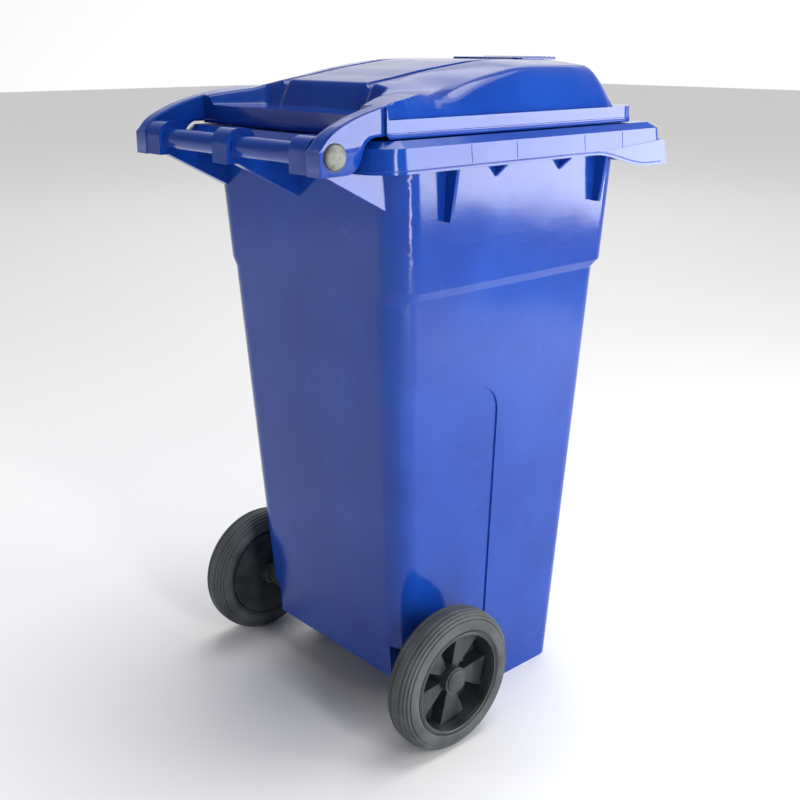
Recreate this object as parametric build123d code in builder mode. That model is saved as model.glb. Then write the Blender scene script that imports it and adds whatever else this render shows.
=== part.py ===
from build123d import *
from math import asin, cos, radians, sin
import os

os.makedirs("parts", exist_ok=True)

# A two-wheeled refuse bin. Millimetres, +Z up, X across, the handle towards +Y.
# The origin is the middle of the footprint, on the ground.

# Joined pieces sink into each other by the overlap, cutting forms pass by the overrun
overlap = 1.0
overrun = 10.0
cut_reach = 400.0

# Body shell
wall = 4.0
base_half_width = 156.0
base_front = -172.0
base_rear = 139.0
base_corner = 24.0
rear_corner_growth = 9.0
shoulder_height = 620.0
shoulder_half_width = 184.0
shoulder_front = -210.5
shoulder_rear = 182.0
shoulder_corner = 30.0
smallest_corner = 2.0
collar_outset = 7.0
collar_ramp = 12.0
floor_height = 14.0
foot_width = 14.0

# Rim round the mouth
rim_bottom = 783.0
rim_shoulder = 812.0
rim_top = 820.0
rim_slope = 10.0
rim_half_width = 220.0
rim_front = -296.0
rim_rear = 237.0
rim_draft = 3.0
rim_front_corner = 16.0
rim_rear_corner = 46.0
lip_bottom = 761.0
lip_front = -307.0
lip_start = -140.0
lip_middle = -200.0
lip_level = -262.0
lip_lean = 5.0
lip_face = 20.0
lip_seat = 13.0
comb_pitch = 55.0
comb_rows = 3
comb_rib = 4.0
comb_drop = 4.0

# Ribs under the rim, each a distance from the middle of the body
long_rib_places = (-173.0, 111.0)
long_rib_height = 65.0
long_rib_foot = 11.0
short_rib_places = (-97.0, 25.0)
short_rib_height = 17.0
rib_thickness = 5.0

# Shallow recess in each side behind the wheels
recess_depth = 2.2
recess_fade = 2.5
recess_rear_top = 508.0
recess_front_top = 478.0
recess_front = -13.0
recess_corner = 45.0
recess_reach = 60.0
recess_rise = 25.0
recess_below = 20.0

# Axle box below the body
box_half_width = 130.0
box_below_axle = 32.0
box_above_axle = 22.0
bulkhead = 45.0
arch_above_axle = 20.0
arch_rise = 20.0
arch_depth = 2.5
axle_rib_places = (-60.0, 0.0, 60.0)
box_outset = 3.0

# Wheels and axle
wheel_radius = 100.0
wheel_outer = 240.0
tyre_width = 44.0
tyre_bore = 74.5
rim_lip = 68.0
hub_radius = 19.0
hub_recess = 8.0
hub_outset = 4.0
barrel_inset = 1.0
bead_depth = 3.0
bead_width = 5.0
spoke_count = 5
blade_spread = 38.0
axle_y = 115.0
axle_diameter = 20.0
axle_end = 225.0
axle_groove_depth = 2.0
axle_groove_width = 9.0
axle_groove_inset = 9.0
running_clearance = 0.08
cap_radius = 13.5
cap_length = 5.0
sleeve_wall = 4.0
washer_radius = 17.0
washer_thickness = 2.0
side_gap = 0.3
cap_seat = 6.0
cap_brim = 2.0
cap_dome = 3.5
cap_edge = 1.5
cap_bevel = 4.0
web_inner = 197.0
web_thickness = 3.0
blade_height = 20.0
blade_root = 17.0
blade_tip = 69.0
tyre_gap = 0.05
tyre_shoulder = 84.0
tyre_crown = 11.0
tyre_round = 6.0
latch_diameter = 6.0
latch_clearance = 0.1
latch_angle = 23.0
latch_length = 39.0
latch_bore_end = 62.0
latch_collar = 1.5
collar_above_tip = 11.7
latch_travel = 2.2
guide_place = 31.0
guide_length = 5.0
guide_width = 12.0
spring_gap = 0.4
spring_wire = 1.0

# Handle and hinge
bar_y = 284.0
bar_height = 806.5
bar_diameter = 26.0
lug_rear = 303.5
lug_bottom = 786.0
lug_round = 20.0
lug_depth = 41.5
lug_crown = 1.5
lug_rear_round = 18.0
lug_front_round = 12.0
lug_outer = 173.0
lug_width = 32.0
gusset_thickness = 15.0
gusset_tip = 737.0
gusset_root = 14.0
lug_shelf = 18.0
gusset_seat = 3.0
gusset_step = 4.0
gusset_drop = 10.0
bar_collar_length = 5.0
bar_collar_height = 1.5
pin_diameter = 16.0
pin_depth = 45.0
pin_head_radius = 14.0
pin_head_height = 7.0
pin_end_gap = 1.0

# Lid, with the line of its side edge and its arms as places along Y and heights
lid_wall = 3.5
lid_gap = 2.0
brim_height = 21.0
brim_half_width = 204.0
brim_front = -257.0
brim_rear = 215.0
brim_front_corner = 38.0
brim_rear_corner = 12.0
brim_lip_height = 5.0
brim_lip_outset = 1.0
brim_draft = 1.5
dome_half_width = 199.0
dome_front = -226.0
dome_corner = 44.0
dome_edge_half_width = 182.0
side_crest = 896.0
middle_crest = 905.0
middle_half_width = 86.0
arm_line = [(182, 864), (221, 855), (250, 847), (268, 839), (299, 822), (307, 814)]
middle_line = [(-226, 893), (-200, 902), (-85, 905), (-39, 904), (51, 893), (138, 878)]
scoop_front = 138.0
scoop_floor = 845.0
scoop_crest = 878.0
scoop_lean = 15.0
scoop_half_width_front = 96.0
scoop_half_width_rear = 150.0
scoop_upper_lean = 5.0
channel_width = 14.0
channel_depth = 6.5
channel_front = -110.0
grip_half_width = 70.0
grip_front = -236.0
grip_rear = -150.0
grip_crest = 907.0
grip_thickness = 7.0
grip_corner = 12.0
crown_margin = 3.0
arm_outer = 199.0
arm_inner = 175.0
arm_rear = 307.0
arm_bottom = 785.5
arm_toe = 269.0
arm_throat = 240.0
boss_radius = 20.0
arm_seat = 4.0

brim_bottom = rim_top + lid_gap
brim_top = brim_bottom + brim_height
wheel_inner = wheel_outer - tyre_width
hub_outer = wheel_outer - hub_recess
hub_inner = wheel_inner - hub_outset
axle_height = wheel_radius
box_bottom = axle_height - box_below_axle
box_roof = axle_height + box_above_axle
arch_foot = axle_height + arch_above_axle
latch_tip = axle_diameter / 2 - axle_groove_depth + side_gap
collar_start = latch_tip + collar_above_tip
spring_start = collar_start + latch_collar + latch_travel + side_gap
lug_front = lug_rear - lug_depth
lug_top = bar_height + lug_round + lug_crown
lug_points = [
    (lug_front, lug_bottom),
    (lug_rear, lug_bottom),
    (lug_rear, lug_top),
    (lug_front, lug_top),
]
lug_rounds = [((lug_rear, lug_top), lug_rear_round), ((lug_front, lug_top), lug_front_round)]
tip_wall = base_rear + (shoulder_rear - base_rear) * gusset_tip / shoulder_height
gusset_slope = (lug_bottom - gusset_tip) / (lug_rear - lug_shelf - tip_wall)
gusset_points = [
    (tip_wall - gusset_root, gusset_tip - gusset_root * gusset_slope),
    (lug_rear - lug_shelf, lug_bottom + overlap / 2),
    (lug_front + gusset_step, lug_top - gusset_drop),
    (rim_rear - gusset_seat, rim_shoulder - overlap),
    (tip_wall - gusset_root, rim_shoulder - overlap),
]
lug_middle = lug_outer - lug_width / 2
plate_middle_place = lug_outer - gusset_thickness / 2
lug_places = [
    (-lug_middle, lug_width, -plate_middle_place),
    (0.0, lug_width, 0.0),
    (lug_middle, lug_width, plate_middle_place),
]


def wall_at(height):
    share = height / shoulder_height
    half = base_half_width + (shoulder_half_width - base_half_width) * share
    front = base_front + (shoulder_front - base_front) * share
    rear = base_rear + (shoulder_rear - base_rear) * share
    corner = base_corner + (shoulder_corner - base_corner) * share
    return half, front, rear, corner


def rounded_section(height, half, front, rear, front_corner, rear_corner):
    with BuildSketch(Plane.XY.offset(height)) as section:
        with Locations((0, (front + rear) / 2)):
            Rectangle(2 * half, rear - front)
        fillet(section.vertices().group_by(Axis.Y)[0], front_corner)
        fillet(section.vertices().group_by(Axis.Y)[-1], rear_corner)
    return section.sketch


def shell_section(height, outset=0.0, side_outset=0.0, rear_outset=0.0):
    half, front, rear, corner = wall_at(height)
    corner = max(corner + outset, smallest_corner)
    return rounded_section(
        height,
        half + outset + side_outset,
        front - outset - max(side_outset, 0.0),
        rear + outset + rear_outset,
        corner,
        corner + rear_corner_growth,
    )


def upright_profile(points, corners=(), at=0.0):
    # A closed outline of straight edges in the YZ plane, with some corners rounded.
    with BuildSketch(Plane.YZ.offset(at)) as profile:
        with BuildLine():
            Polyline(*points, close=True)
        make_face()
        for place, radius in corners:
            fillet(profile.vertices().sort_by_distance((place[0], place[1], 0))[0], radius)
    return profile.sketch


def rim_section(height, inset):
    return rounded_section(
        height,
        rim_half_width - inset,
        rim_front + inset,
        rim_rear - inset,
        rim_front_corner,
        rim_rear_corner - inset,
    )


# The recess: everything outside a slightly narrower shell, below and behind an outline
recess_top_corner = (recess_front, recess_front_top)
recess_points = [
    (shoulder_rear + recess_reach, recess_rear_top + recess_rise),
    recess_top_corner,
    (recess_front, -recess_below),
    (shoulder_rear + recess_reach, -recess_below),
]
recess_area = upright_profile(recess_points, [(recess_top_corner, recess_corner)])
with BuildPart() as outer_recess:
    extrude(recess_area, amount=cut_reach, both=True)
    loft(
        [
            shell_section(-recess_below - overrun, 0, -recess_depth, recess_fade),
            shell_section(shoulder_height, 0, -recess_depth, recess_fade),
        ],
        mode=Mode.SUBTRACT,
    )

# The space inside the body
with BuildPart() as cavity:
    loft([shell_section(floor_height, -wall), shell_section(shoulder_height, -wall)])
    loft(
        [
            shell_section(shoulder_height, -wall),
            shell_section(shoulder_height + collar_ramp, -wall, collar_outset),
        ]
    )
    loft(
        [
            shell_section(shoulder_height + collar_ramp, -wall, collar_outset),
            shell_section(rim_top + overlap, -wall, collar_outset),
        ]
    )
    with Locations((0, bulkhead - wall, 0)):
        Box(
            cut_reach * 2,
            cut_reach,
            box_roof + wall,
            align=(Align.CENTER, Align.MIN, Align.MIN),
            mode=Mode.SUBTRACT,
        )


# The foot of the rear wall stands back under a shallow arch
with BuildPart() as arch_zone:
    with BuildSketch(Plane.XZ.offset(-bulkhead)):
        with BuildLine():
            crown = ThreePointArc(
                (-box_half_width - overlap, arch_foot),
                (0, arch_foot + arch_rise),
                (box_half_width + overlap, arch_foot),
            )
            Polyline(
                crown @ 1,
                (box_half_width + overlap, -overrun),
                (-box_half_width - overlap, -overrun),
                crown @ 0,
            )
        make_face()
    extrude(amount=-cut_reach)
    loft(
        [
            shell_section(-3 * overrun, rear_outset=-arch_depth),
            shell_section(shoulder_height, rear_outset=-arch_depth),
        ],
        mode=Mode.SUBTRACT,
    )

comb_wall = wall_at(rim_bottom)[1] - collar_outset
comb_front = rim_front + rim_draft + overlap / 2
box_depth = base_rear + box_outset - wall - bulkhead

# The mouth of the body, with its rim, lip and ribs, then the shell, box and handle
with BuildPart() as body:
    loft([rim_section(rim_bottom, 0), rim_section(rim_shoulder, rim_draft)])
    loft([rim_section(rim_shoulder, rim_draft), rim_section(rim_top, rim_draft + rim_slope)])
    loft(
        [
            rim_section(rim_bottom - overlap, wall),
            rim_section(rim_shoulder - wall / 2, wall + rim_draft),
        ],
        mode=Mode.SUBTRACT,
    )
    # The lip at the front hangs lower than the rest of the rim
    with BuildSketch(Plane.YZ):
        with BuildLine():
            fall = Spline(
                (lip_start, rim_bottom),
                (lip_middle, (rim_bottom + lip_bottom) / 2),
                (lip_level, lip_bottom),
                (lip_front, lip_bottom),
                tangents=((-1, 0), (-1, 0)),
            )
            lip_edge = Polyline(
                fall @ 1,
                (lip_front + lip_lean, lip_bottom + lip_face),
                (rim_front, rim_bottom + lip_seat),
            )
            Polyline(lip_edge @ 1, (lip_start, rim_bottom + 2 * overlap), fall @ 0)
        make_face()
    extrude(amount=rim_half_width, both=True)
    with Locations((0, rim_front + wall, lip_bottom - overrun)):
        Box(
            2 * (rim_half_width - wall),
            lip_start - rim_front,
            rim_shoulder - wall / 2 - lip_bottom + overrun,
            align=(Align.CENTER, Align.MIN, Align.MIN),
            mode=Mode.SUBTRACT,
        )
    # Tapered shell, ramp and collar
    loft([shell_section(0), shell_section(shoulder_height)])
    loft(
        [
            shell_section(shoulder_height),
            shell_section(shoulder_height + collar_ramp, 0, collar_outset),
        ]
    )
    loft(
        [
            shell_section(shoulder_height + collar_ramp, 0, collar_outset),
            shell_section(rim_top, 0, collar_outset),
        ]
    )
    add(outer_recess.part, mode=Mode.SUBTRACT)
    add(arch_zone.part, mode=Mode.SUBTRACT)
    # Web plates that join the lip to the front wall and make the lifting comb
    for row in range(-comb_rows, comb_rows + 1):
        with Locations((row * comb_pitch, comb_front, rim_bottom - comb_drop)):
            Box(
                comb_rib,
                comb_wall - comb_front,
                rim_shoulder - overlap - rim_bottom + comb_drop,
                align=(Align.CENTER, Align.MIN, Align.MIN),
            )
    # Long and short ribs under the rim, on both sides
    for side in (-1, 1):
        for place in long_rib_places:
            rib_top_half = wall_at(rim_bottom)[0] + collar_outset
            rib_foot_half = wall_at(rim_bottom - long_rib_height)[0] + collar_outset
            with BuildSketch(Plane.XZ.offset(-place)):
                with BuildLine():
                    Polyline(
                        (side * (rib_top_half - 2 * overlap), rim_shoulder - overlap),
                        (side * (rim_half_width - rim_draft), rim_shoulder - overlap),
                        (side * (rim_half_width - rim_draft), rim_bottom),
                        (side * (rib_foot_half + long_rib_foot), rim_bottom - long_rib_height),
                        (side * (rib_foot_half - 2 * overlap), rim_bottom - long_rib_height),
                        close=True,
                    )
                make_face()
            extrude(amount=rib_thickness / 2, both=True)
        for place in short_rib_places:
            with BuildSketch(Plane.XZ.offset(-place)):
                with BuildLine():
                    Polyline(
                        (side * (rib_top_half - 2 * overlap), rim_shoulder - overlap),
                        (side * (rim_half_width - rim_draft), rim_shoulder - overlap),
                        (side * (rim_half_width - rim_draft), rim_bottom),
                        (side * (rib_top_half - overlap), rim_bottom - short_rib_height),
                        (side * (rib_top_half - 2 * overlap), rim_bottom - short_rib_height),
                        close=True,
                    )
                make_face()
            extrude(amount=rib_thickness / 2, both=True)
    # Handle lugs, the plates that carry them, and the bar
    for middle, width, plate_middle in lug_places:
        extrude(upright_profile(lug_points, lug_rounds, middle - width / 2), amount=width)
        extrude(
            upright_profile(gusset_points, (), plate_middle - gusset_thickness / 2),
            amount=gusset_thickness,
        )
    with Locations(Location((0, bar_y, bar_height), (0, 90, 0))):
        Cylinder(bar_diameter / 2, 2 * lug_outer)
    for middle, width, plate_middle in lug_places:
        for end in (-1, 1):
            if abs(middle + end * width / 2) < lug_outer - overlap:
                collar_place = middle + end * (width + bar_collar_length) / 2
                with Locations(Location((collar_place, bar_y, bar_height), (0, 90, 0))):
                    Cylinder(bar_diameter / 2 + bar_collar_height, bar_collar_length)
    # Space inside, then the axle box under the raised floor
    add(cavity.part, mode=Mode.SUBTRACT)
    for side in (-1, 1):
        with Locations((side * box_half_width, bulkhead, -overlap)):
            Box(
                cut_reach,
                cut_reach,
                box_roof + overlap,
                align=(Align.MIN if side > 0 else Align.MAX, Align.MIN, Align.MIN),
                mode=Mode.SUBTRACT,
            )
    with Locations((0, bulkhead, -overlap)):
        Box(
            cut_reach,
            cut_reach,
            box_bottom + overlap,
            align=(Align.CENTER, Align.MIN, Align.MIN),
            mode=Mode.SUBTRACT,
        )
    with Locations((0, bulkhead, box_bottom - overlap)):
        Box(
            2 * (box_half_width - wall),
            box_depth,
            box_roof - box_bottom + overlap,
            align=(Align.CENTER, Align.MIN, Align.MIN),
            mode=Mode.SUBTRACT,
        )
    foot_pocket = rounded_section(
        0,
        base_half_width - foot_width,
        base_front + foot_width,
        bulkhead - foot_width,
        base_corner - wall,
        base_corner - wall,
    )
    extrude(foot_pocket, amount=floor_height - wall, mode=Mode.SUBTRACT)
    for place in axle_rib_places:
        with Locations((place, bulkhead - overlap, box_bottom)):
            Box(
                wall,
                box_depth + 2 * overlap,
                box_roof - box_bottom + overlap,
                align=(Align.CENTER, Align.MIN, Align.MIN),
            )
    with Locations(Location((0, axle_y, axle_height), (0, 90, 0))):
        Cylinder(
            axle_diameter / 2 + running_clearance,
            2 * (box_half_width + overrun),
            mode=Mode.SUBTRACT,
        )
    for side in (-1, 1):
        bore_middle = side * (lug_outer - pin_depth / 2)
        with Locations(Location((bore_middle, bar_y, bar_height), (0, 90, 0))):
            Cylinder(pin_diameter / 2, pin_depth, mode=Mode.SUBTRACT)

body.part.label = "body"
export_step(body.part, "parts/body.step")


def brim_section(height, outset):
    return rounded_section(
        height,
        brim_half_width + outset,
        brim_front - outset,
        brim_rear + outset,
        brim_front_corner + outset,
        brim_rear_corner + max(outset, -brim_rear_corner + overlap),
    )


def crest_profile(line, drop, floor, front, rear, at=0.0):
    # The YZ area under a smooth crest line lowered by a wall, closed along a floor.
    points = [(place, height - drop) for place, height in line]
    with BuildSketch(Plane.YZ.offset(at)) as profile:
        with BuildLine():
            crest = Spline(*points)
            Polyline(crest @ 1, (rear, points[-1][1]), (rear, floor), (front, floor), crest @ 0)
        make_face()
    return profile.sketch


def dome_form(inset):
    # The raised middle of the lid: a high crown between lower side edges.
    floor = brim_top - lid_wall - overlap
    crown = [(place, max(height - inset, floor + overlap)) for place, height in middle_line]
    with BuildPart() as crown_block:
        extrude(
            crest_profile(crown, 0, floor, crown[0][0] + inset, brim_rear - inset),
            amount=dome_half_width - inset,
            both=True,
        )
        edge = dome_edge_half_width - inset
        with BuildSketch(Plane.XZ.offset(-cut_reach)):
            with BuildLine():
                Polyline(
                    (-dome_half_width + inset, floor),
                    (-edge, side_crest - inset),
                    (-middle_half_width, middle_crest + crown_margin - inset),
                    (middle_half_width, middle_crest + crown_margin - inset),
                    (edge, side_crest - inset),
                    (dome_half_width - inset, floor),
                    close=True,
                )
            make_face()
        extrude(amount=2 * cut_reach, mode=Mode.INTERSECT)
        plan = rounded_section(
            floor,
            dome_half_width - inset,
            dome_front + inset,
            brim_rear - inset,
            dome_corner - inset,
            brim_rear_corner - inset,
        )
        extrude(plan, amount=cut_reach, mode=Mode.INTERSECT)
    return crown_block.part


def scoop_form(grow):
    # The hollow at the rear of the dome, between the arms.
    with BuildPart() as hollow:
        with BuildSketch(Plane.XY.offset(scoop_floor - grow)):
            with BuildLine():
                Polyline(
                    (-scoop_half_width_front - grow, scoop_front - grow),
                    (scoop_half_width_front + grow, scoop_front - grow),
                    (scoop_half_width_rear + grow, brim_rear + 2 * overrun),
                    (-scoop_half_width_rear - grow, brim_rear + 2 * overrun),
                    close=True,
                )
            make_face()
        extrude(amount=cut_reach)
        panel = upright_profile(
            [
                (scoop_front + scoop_lean - grow, scoop_floor - grow),
                (scoop_front - grow, scoop_crest),
                (scoop_front - grow - scoop_upper_lean, brim_top + cut_reach / 2),
                (brim_rear + 2 * overrun, brim_top + cut_reach / 2),
                (brim_rear + 2 * overrun, scoop_floor - grow),
            ]
        )
        extrude(panel, amount=cut_reach, both=True, mode=Mode.INTERSECT)
    return hollow.part


def channel_profile(grow):
    # A groove that follows the crown and runs out towards the front.
    bed = [(place, height - channel_depth - grow) for place, height in middle_line[2:]]
    with BuildSketch(Plane.YZ) as profile:
        with BuildLine():
            bottom = Spline(*bed)
            Polyline(
                bottom @ 1,
                (scoop_front + 3 * overrun, bed[-1][1]),
                (scoop_front + 3 * overrun, grip_crest + 4 * overrun),
                (channel_front, grip_crest + 4 * overrun),
                (channel_front, middle_crest),
                bottom @ 0,
            )
        make_face()
    return profile.sketch


def arm_profile(inset):
    points = [(place, height - inset) for place, height in arm_line[:-1]]
    back = arm_rear - inset
    base = arm_bottom + inset
    with BuildSketch(Plane.YZ) as profile:
        with BuildLine():
            crest = Spline(*points)
            Polyline(crest @ 1, (back, arm_line[-1][1] - inset), (back, base), (arm_toe, base))
            throat = ThreePointArc(
                (arm_toe, base),
                (arm_throat + inset, bar_height),
                (arm_throat, brim_bottom - overlap + inset),
            )
            Polyline(
                throat @ 1,
                (brim_rear, brim_bottom + arm_seat + inset),
                (arm_line[0][0], brim_bottom + arm_seat + inset),
                crest @ 0,
            )
        make_face()
    return profile.sketch


# The space under the lid
with BuildPart() as lid_space:
    under = brim_section(brim_bottom - overrun, -lid_wall - brim_draft)
    extrude(under, amount=brim_height + overrun - lid_wall)
    add(dome_form(lid_wall))
    add(scoop_form(lid_wall), mode=Mode.SUBTRACT)
    for side in (-1, 1):
        groove = extrude(
            channel_profile(lid_wall),
            amount=channel_width / 2 + lid_wall,
            both=True,
            mode=Mode.PRIVATE,
        )
        with Locations(Location((side * middle_half_width, 0, 0))):
            add(groove, mode=Mode.SUBTRACT)

with BuildPart() as lid:
    # Brim with a fine lip along its lower edge
    extrude(brim_section(brim_bottom, brim_lip_outset), amount=brim_lip_height)
    loft([brim_section(brim_bottom + brim_lip_height, 0), brim_section(brim_top, -brim_draft)])
    add(dome_form(0))
    with BuildSketch(Plane.XY.offset(grip_crest)):
        with Locations((0, (grip_front + grip_rear) / 2)):
            RectangleRounded(2 * grip_half_width, grip_rear - grip_front, grip_corner)
    extrude(amount=-grip_thickness)
    # Arms that reach back beside the lugs
    for side in (-1, 1):
        with Locations(Location((side * arm_inner, 0, 0))):
            add(extrude(arm_profile(0), amount=side * (arm_outer - arm_inner), mode=Mode.PRIVATE))
    add(scoop_form(0), mode=Mode.SUBTRACT)
    for side in (-1, 1):
        groove = extrude(channel_profile(0), amount=channel_width / 2, both=True, mode=Mode.PRIVATE)
        with Locations(Location((side * middle_half_width, 0, 0))):
            add(groove, mode=Mode.SUBTRACT)
    add(lid_space.part, mode=Mode.SUBTRACT)
    for side in (-1, 1):
        space = extrude(
            arm_profile(wall), amount=side * (arm_outer - wall - arm_inner + overlap), mode=Mode.PRIVATE
        )
        with Locations(Location((side * (arm_inner - overlap), 0, 0))):
            add(space, mode=Mode.SUBTRACT)
        boss_middle = side * (arm_inner + arm_outer - wall / 2) / 2
        with Locations(Location((boss_middle, bar_y, bar_height), (0, 90, 0))):
            Cylinder(boss_radius, arm_outer - wall / 2 - arm_inner)
    with Locations(Location((0, bar_y, bar_height), (0, 90, 0))):
        Cylinder(pin_diameter / 2 + running_clearance, cut_reach * 2, mode=Mode.SUBTRACT)

lid.part.label = "lid"
export_step(lid.part, "parts/lid.step")


def across(place, height_z, place_y):
    # A place on an axis that runs across the bin, with the cylinder's own axis along X.
    return Location((place, place_y, height_z), (0, 90, 0))


def ring_profile(points):
    # A closed outline to be turned about the axle: places along X and radii.
    with BuildSketch(Plane.XZ.offset(-axle_y)) as profile:
        with BuildLine():
            Polyline(*[(place, axle_height + radius) for place, radius in points], close=True)
        make_face()
    return profile.sketch


axle_line = Axis((0, axle_y, axle_height), (1, 0, 0))
groove_place = wheel_inner + axle_groove_inset

# Steel axle with a groove near each end
with BuildPart() as axle:
    with Locations(across(0, axle_height, axle_y)):
        Cylinder(axle_diameter / 2, 2 * axle_end)
    for side in (-1, 1):
        groove = ring_profile(
            [
                (side * groove_place - axle_groove_width / 2, axle_diameter / 2 - axle_groove_depth),
                (side * groove_place + axle_groove_width / 2, axle_diameter / 2 - axle_groove_depth),
                (side * groove_place + axle_groove_width / 2, axle_diameter),
                (side * groove_place - axle_groove_width / 2, axle_diameter),
            ]
        )
        revolve(groove, axis=axle_line, mode=Mode.SUBTRACT)

axle.part.label = "axle"
export_step(axle.part, "parts/axle.step")


def latch_plane(side):
    # A plane on the wheel's axis whose normal is the direction in which the latch slides.
    angle = radians(latch_angle)
    direction = (0, -cos(angle), sin(angle))
    return Plane(
        origin=(side * groove_place, axle_y, axle_height), x_dir=(1, 0, 0), z_dir=direction
    )


for side, name in ((-1, "left"), (1, "right")):
    # Rim: a barrel, a hub and slanted blades between them
    with BuildPart() as wheel_rim:
        barrel = ring_profile(
            [
                (side * (wheel_inner + barrel_inset), tyre_bore),
                (side * (wheel_outer - barrel_inset), tyre_bore),
                (side * (wheel_outer - barrel_inset), tyre_bore - bead_depth),
                (side * (wheel_outer - bead_width), rim_lip),
                (side * (wheel_inner + bead_width), rim_lip),
                (side * (wheel_inner + barrel_inset), tyre_bore - bead_depth),
            ]
        )
        revolve(barrel, axis=axle_line)
        hub = ring_profile(
            [
                (side * hub_inner, 0),
                (side * hub_outer, 0),
                (side * hub_outer, hub_radius),
                (side * hub_inner, hub_radius),
            ]
        )
        revolve(hub, axis=axle_line)
        web = ring_profile(
            [
                (side * web_inner, hub_radius - overlap),
                (side * (web_inner + web_thickness), hub_radius - overlap),
                (side * (web_inner + web_thickness), rim_lip + overlap),
                (side * web_inner, rim_lip + overlap),
            ]
        )
        revolve(web, axis=axle_line)
        for turn in range(spoke_count):
            middle = 180.0 - latch_angle + 360.0 / spoke_count * (turn + 0.5)
            corners = [
                (axle_y + reach * cos(radians(turned)), axle_height + reach * sin(radians(turned)))
                for reach, turned in (
                    (blade_root, middle - blade_spread / 2),
                    (blade_tip, middle - blade_spread / 2),
                    (blade_tip, middle + blade_spread / 2),
                    (blade_root, middle + blade_spread / 2),
                )
            ]
            extrude(
                upright_profile(corners, (), side * (web_inner + web_thickness)),
                amount=side * blade_height,
            )
        with Locations(across(side * (wheel_inner + wheel_outer) / 2, axle_height, axle_y)):
            Cylinder(
                axle_diameter / 2 + running_clearance, 2 * tyre_width, mode=Mode.SUBTRACT
            )
        with Locations(across(side * (hub_outer - cap_seat / 2), axle_height, axle_y)):
            Cylinder(cap_radius, cap_seat, mode=Mode.SUBTRACT)
        # Guide and bore for the latch
        plane = latch_plane(side)
        with BuildSketch(plane.offset(guide_place)):
            Rectangle(guide_width, guide_width)
        extrude(amount=guide_length)
        with BuildSketch(plane):
            Circle(latch_diameter / 2 + latch_clearance)
        extrude(amount=latch_bore_end, mode=Mode.SUBTRACT)
    wheel_rim.part.label = f"wheel_rim_{name}"
    export_step(wheel_rim.part, f"parts/wheel_rim_{name}.step")

    # Solid rubber tyre
    with BuildPart() as tyre:
        with BuildSketch(Plane.XZ.offset(-axle_y)) as tyre_section:
            with BuildLine():
                Polyline(
                    (side * wheel_inner, axle_height + tyre_bore + tyre_gap),
                    (side * wheel_outer, axle_height + tyre_bore + tyre_gap),
                    (side * wheel_outer, axle_height + tyre_shoulder),
                    (side * (wheel_outer - tyre_crown), axle_height + wheel_radius),
                    (side * (wheel_inner + tyre_crown), axle_height + wheel_radius),
                    (side * wheel_inner, axle_height + tyre_shoulder),
                    close=True,
                )
            make_face()
            fillet(tyre_section.vertices().group_by(Axis.Y)[-2:], tyre_round)
        revolve(axis=axle_line)
    tyre.part.label = f"tyre_{name}"
    export_step(tyre.part, f"parts/tyre_{name}.step")

    # Cap pressed into the hub over the end of the axle
    with BuildPart() as hub_cap:
        cap_section = ring_profile(
            [
                (side * (hub_outer - cap_length), 0),
                (side * (hub_outer - cap_length), cap_radius),
                (side * hub_outer, cap_radius),
                (side * hub_outer, cap_radius + cap_brim),
                (side * (hub_outer + cap_edge), cap_radius + cap_brim),
                (side * (hub_outer + cap_dome), cap_radius - cap_bevel),
                (side * (hub_outer + cap_dome), 0),
            ]
        )
        revolve(cap_section, axis=axle_line)
    hub_cap.part.label = f"hub_cap_{name}"
    export_step(hub_cap.part, f"parts/hub_cap_{name}.step")

    # Latch that drops into the axle's groove, and its spring
    with BuildPart() as latch:
        with BuildSketch(plane.offset(latch_tip)):
            Circle(latch_diameter / 2)
        extrude(amount=latch_length)
        with BuildSketch(plane.offset(collar_start)):
            Circle(latch_diameter / 2 + latch_collar)
        extrude(amount=latch_collar)
    latch.part.label = f"latch_{name}"
    export_step(latch.part, f"parts/latch_{name}.step")

    with BuildPart() as latch_spring:
        with BuildSketch(plane.offset(spring_start)):
            Circle(latch_diameter / 2 + spring_gap + spring_wire)
            Circle(latch_diameter / 2 + spring_gap, mode=Mode.SUBTRACT)
        extrude(amount=guide_place - spring_start)
    latch_spring.part.label = f"latch_spring_{name}"
    export_step(latch_spring.part, f"parts/latch_spring_{name}.step")

    # Sleeve and washer that keep the wheel away from the body
    with BuildPart() as sleeve:
        sleeve_start = box_half_width + side_gap
        sleeve_end = hub_inner - 2 * side_gap - washer_thickness
        with Locations(across(side * (sleeve_start + sleeve_end) / 2, axle_height, axle_y)):
            Cylinder(axle_diameter / 2 + sleeve_wall, sleeve_end - sleeve_start)
            Cylinder(
                axle_diameter / 2 + running_clearance, sleeve_end - sleeve_start, mode=Mode.SUBTRACT
            )
    sleeve.part.label = f"axle_sleeve_{name}"
    export_step(sleeve.part, f"parts/axle_sleeve_{name}.step")

    with BuildPart() as washer:
        with Locations(across(side * (sleeve_end + washer_thickness / 2), axle_height, axle_y)):
            Cylinder(washer_radius, washer_thickness)
            Cylinder(
                axle_diameter / 2 + running_clearance, washer_thickness, mode=Mode.SUBTRACT
            )
    washer.part.label = f"axle_washer_{name}"
    export_step(washer.part, f"parts/axle_washer_{name}.step")

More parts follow.
